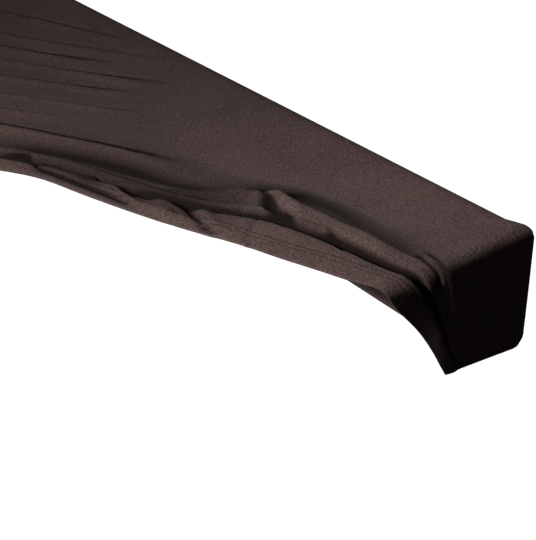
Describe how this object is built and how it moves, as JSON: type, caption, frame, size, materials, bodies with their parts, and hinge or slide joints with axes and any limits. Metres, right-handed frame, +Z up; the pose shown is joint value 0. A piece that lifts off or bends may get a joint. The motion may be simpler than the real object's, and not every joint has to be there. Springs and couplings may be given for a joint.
{
  "type": "keyboard dust cover (harmonium cover)",
  "caption": "Fitted stretch-knit dust cover for a keyboard instrument, hollow underneath, hem tucked under, front right corner lifted and pushed back in folds.",
  "frame": {"origin": "underside of the cover's top at the middle of its plan, where it rests on the instrument's top", "axes": "+X along the cover to the end with the lifted corner, +Y to the back, +Z up"},
  "size_m": [1.0655, 0.325, 0.1115],
  "materials": {
    "stretch_knit": "matte brown-black stretch knit with a soft sheen"
  },
  "bodies": {
    "root": {"cover": "stretch_knit"}
  },
  "joints": []
}
